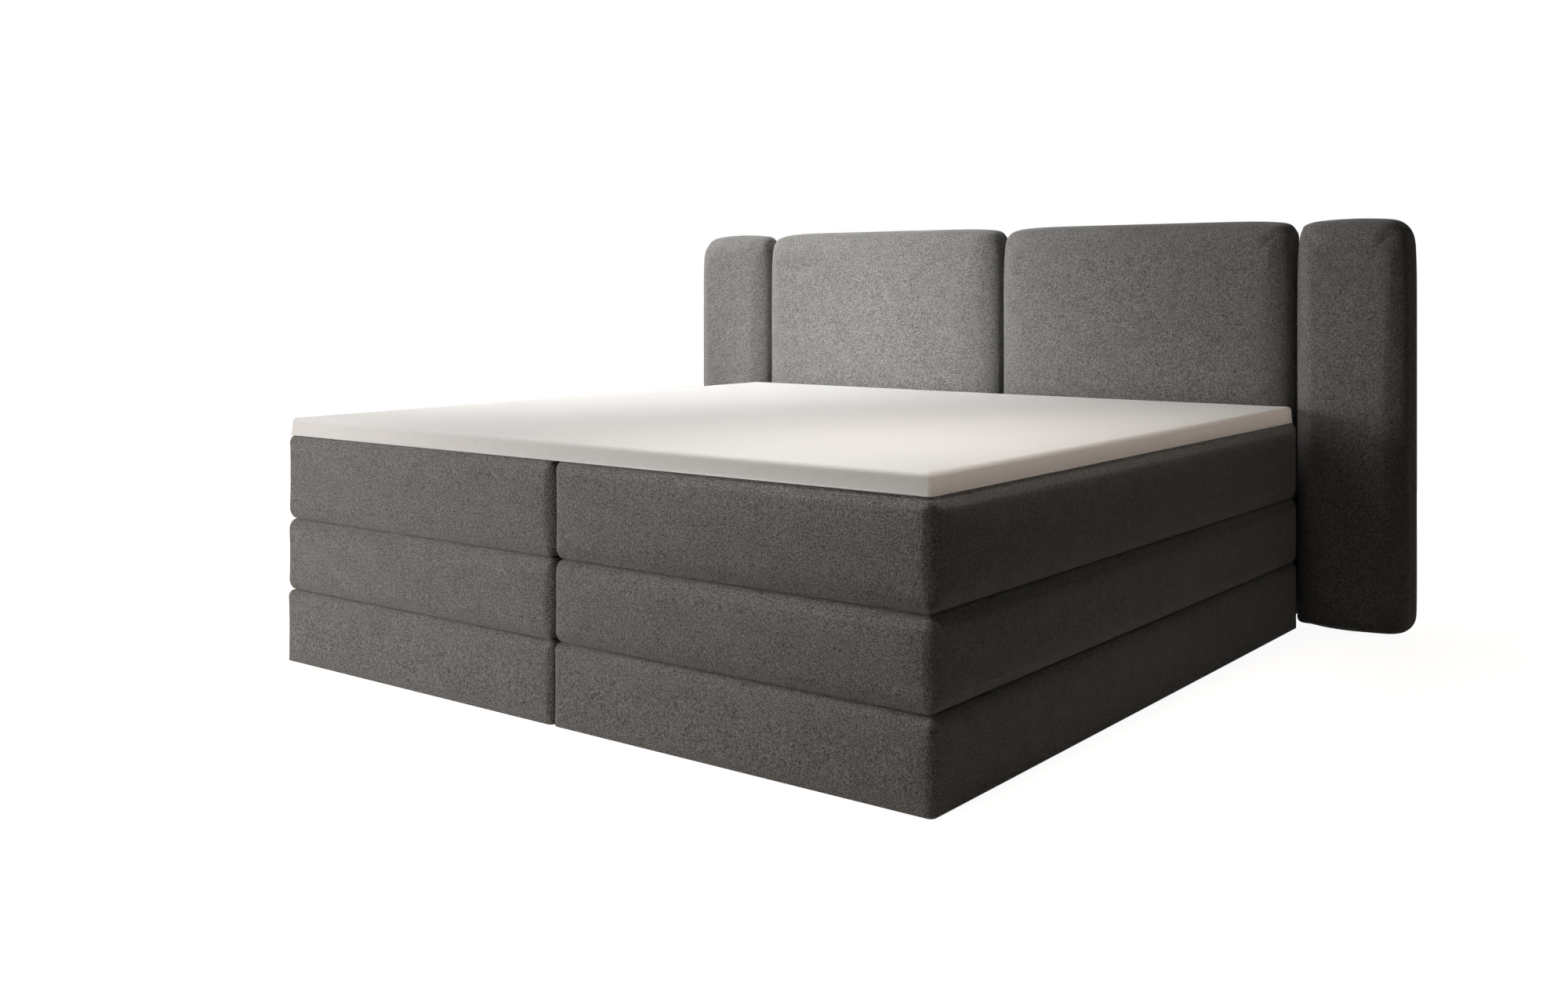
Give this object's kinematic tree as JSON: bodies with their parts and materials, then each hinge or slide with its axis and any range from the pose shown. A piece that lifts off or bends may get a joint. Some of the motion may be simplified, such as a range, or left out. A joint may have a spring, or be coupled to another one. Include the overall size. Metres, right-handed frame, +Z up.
{
  "type": "box spring bed",
  "caption": "Box spring double bed in grey felt: storage boxes, lifting spring bases, mattresses, a white topper and a high padded panel headboard",
  "frame": {"origin": "on the floor in the middle of the whole bed", "axes": "+X to the right seen from the foot, across the bed and along the headboard, +Y from the foot to the headboard, +Z up"},
  "size_m": [2.602, 2.136, 1.18],
  "materials": {
    "grey_felt": "short-nap mottled wool felt",
    "white_knit": "matt fine white knit",
    "foam": "open-cell foam",
    "spring_fleece": "non-woven fleece over springs",
    "particle_board": "raw chipboard",
    "pine": "sawn softwood",
    "black_steel": "black powder coat",
    "polished_steel": "hard chrome",
    "zinc_steel": "zinc plated"
  },
  "bodies": {
    "bed_base": {"left_storage_outer_board": "particle_board", "left_storage_inner_board": "particle_board", "left_storage_foot_board": "particle_board", "left_storage_head_board": "particle_board", "left_storage_floor": "particle_board", "left_storage_cover": "grey_felt", "left_outer_base_plate": "black_steel", "left_inner_base_plate": "black_steel", "right_storage_outer_board": "particle_board", "right_storage_inner_board": "particle_board", "right_storage_foot_board": "particle_board", "right_storage_head_board": "particle_board", "right_storage_floor": "particle_board", "right_storage_cover": "grey_felt", "right_outer_base_plate": "black_steel", "right_inner_base_plate": "black_steel", "foot_joining_bolt": "zinc_steel", "head_joining_bolt": "zinc_steel", "headboard_left_inner_pad": "grey_felt", "headboard_left_inner_board": "particle_board", "headboard_left_outer_pad": "grey_felt", "headboard_left_outer_board": "particle_board", "headboard_right_inner_pad": "grey_felt", "headboard_right_inner_board": "particle_board", "headboard_right_outer_pad": "grey_felt", "headboard_right_outer_board": "particle_board", "headboard_lower_rail": "pine", "headboard_upper_rail": "pine", "left_headboard_bolt": "zinc_steel", "right_headboard_bolt": "zinc_steel"},
    "left_arms": {"left_main_arm_frame": "black_steel"},
    "left_lift_unit": {"left_outer_top_bracket": "black_steel", "left_inner_top_bracket": "black_steel", "left_base_frame": "pine", "left_base_springs": "spring_fleece", "left_base_cover": "grey_felt"},
    "left_followers": {"left_outer_follower_arm": "black_steel", "left_inner_follower_arm": "black_steel"},
    "left_cylinders": {"left_outer_gas_cylinder": "black_steel", "left_inner_gas_cylinder": "black_steel"},
    "left_rods": {"left_outer_gas_rod": "polished_steel", "left_inner_gas_rod": "polished_steel"},
    "left_mattress": {"left_mattress_core": "spring_fleece", "left_mattress_cover": "grey_felt"},
    "right_arms": {"right_main_arm_frame": "black_steel"},
    "right_lift_unit": {"right_outer_top_bracket": "black_steel", "right_inner_top_bracket": "black_steel", "right_base_frame": "pine", "right_base_springs": "spring_fleece", "right_base_cover": "grey_felt"},
    "right_followers": {"right_outer_follower_arm": "black_steel", "right_inner_follower_arm": "black_steel"},
    "right_cylinders": {"right_outer_gas_cylinder": "black_steel", "right_inner_gas_cylinder": "black_steel"},
    "right_rods": {"right_outer_gas_rod": "polished_steel", "right_inner_gas_rod": "polished_steel"},
    "right_mattress": {"right_mattress_core": "spring_fleece", "right_mattress_cover": "grey_felt"},
    "topper": {"topper_core": "foam", "topper_cover": "white_knit"}
  },
  "joints": [
    {"name": "left_arm_lift", "type": "hinge", "parent": "bed_base", "child": "left_arms", "pos_m": [-0.5005, 0.461, 0.045], "axis": [1, 0, 0], "range_deg": [0, 55]},
    {"name": "left_unit_tilt", "type": "hinge", "parent": "left_arms", "child": "left_lift_unit", "pos_m": [-0.5005, 0.682, 0.215], "axis": [-1, 0, 0], "range_deg": [0, 83]},
    {"name": "left_follower_lift", "type": "hinge", "parent": "bed_base", "child": "left_followers", "pos_m": [-0.5005, 0.535, 0.036], "axis": [1, 0, 0], "range_deg": [0, 56.3]},
    {"name": "left_cylinder_swing", "type": "hinge", "parent": "bed_base", "child": "left_cylinders", "pos_m": [-0.5005, 0.653, 0.035], "axis": [1, 0, 0], "range_deg": [0, 60]},
    {"name": "left_rod_slide", "type": "slide", "parent": "left_cylinders", "child": "left_rods", "axis": [0, 0.5214, 0.8533], "range_m": [0, 0.0705]},
    {"name": "left_mattress_lift_off", "type": "slide", "parent": "left_lift_unit", "child": "left_mattress", "axis": [0, -0.5, 0.866], "range_m": [0, 0.3]},
    {"name": "right_arm_lift", "type": "hinge", "parent": "bed_base", "child": "right_arms", "pos_m": [0.5005, 0.461, 0.045], "axis": [1, 0, 0], "range_deg": [0, 55]},
    {"name": "right_unit_tilt", "type": "hinge", "parent": "right_arms", "child": "right_lift_unit", "pos_m": [0.5005, 0.682, 0.215], "axis": [-1, 0, 0], "range_deg": [0, 83]},
    {"name": "right_follower_lift", "type": "hinge", "parent": "bed_base", "child": "right_followers", "pos_m": [0.5005, 0.535, 0.036], "axis": [1, 0, 0], "range_deg": [0, 56.3]},
    {"name": "right_cylinder_swing", "type": "hinge", "parent": "bed_base", "child": "right_cylinders", "pos_m": [0.5005, 0.653, 0.035], "axis": [1, 0, 0], "range_deg": [0, 60]},
    {"name": "right_rod_slide", "type": "slide", "parent": "right_cylinders", "child": "right_rods", "axis": [0, 0.5214, 0.8533], "range_m": [0, 0.0705]},
    {"name": "right_mattress_lift_off", "type": "slide", "parent": "right_lift_unit", "child": "right_mattress", "axis": [0, -0.5, 0.866], "range_m": [0, 0.3]},
    {"name": "topper_lift_off", "type": "slide", "parent": "left_mattress", "child": "topper", "axis": [0, -0.5, 0.866], "range_m": [0, 0.4]}
  ],
  "couplings": [
    {"joint": "left_arm_lift", "follows": "left_unit_tilt", "ratio": 0.66265},
    {"joint": "left_follower_lift", "follows": "left_unit_tilt", "ratio": 0.67789},
    {"joint": "left_cylinder_swing", "follows": "left_unit_tilt", "ratio": 0.72063},
    {"joint": "left_rod_slide", "follows": "left_unit_tilt", "m_per_rad": 0.04832},
    {"joint": "right_unit_tilt", "follows": "left_unit_tilt", "ratio": 1},
    {"joint": "right_arm_lift", "follows": "left_unit_tilt", "ratio": 0.66265},
    {"joint": "right_follower_lift", "follows": "left_unit_tilt", "ratio": 0.67789},
    {"joint": "right_cylinder_swing", "follows": "left_unit_tilt", "ratio": 0.72063},
    {"joint": "right_rod_slide", "follows": "left_unit_tilt", "m_per_rad": 0.04832},
    {"joint": "right_mattress_lift_off", "follows": "left_mattress_lift_off", "ratio": 1}
  ]
}
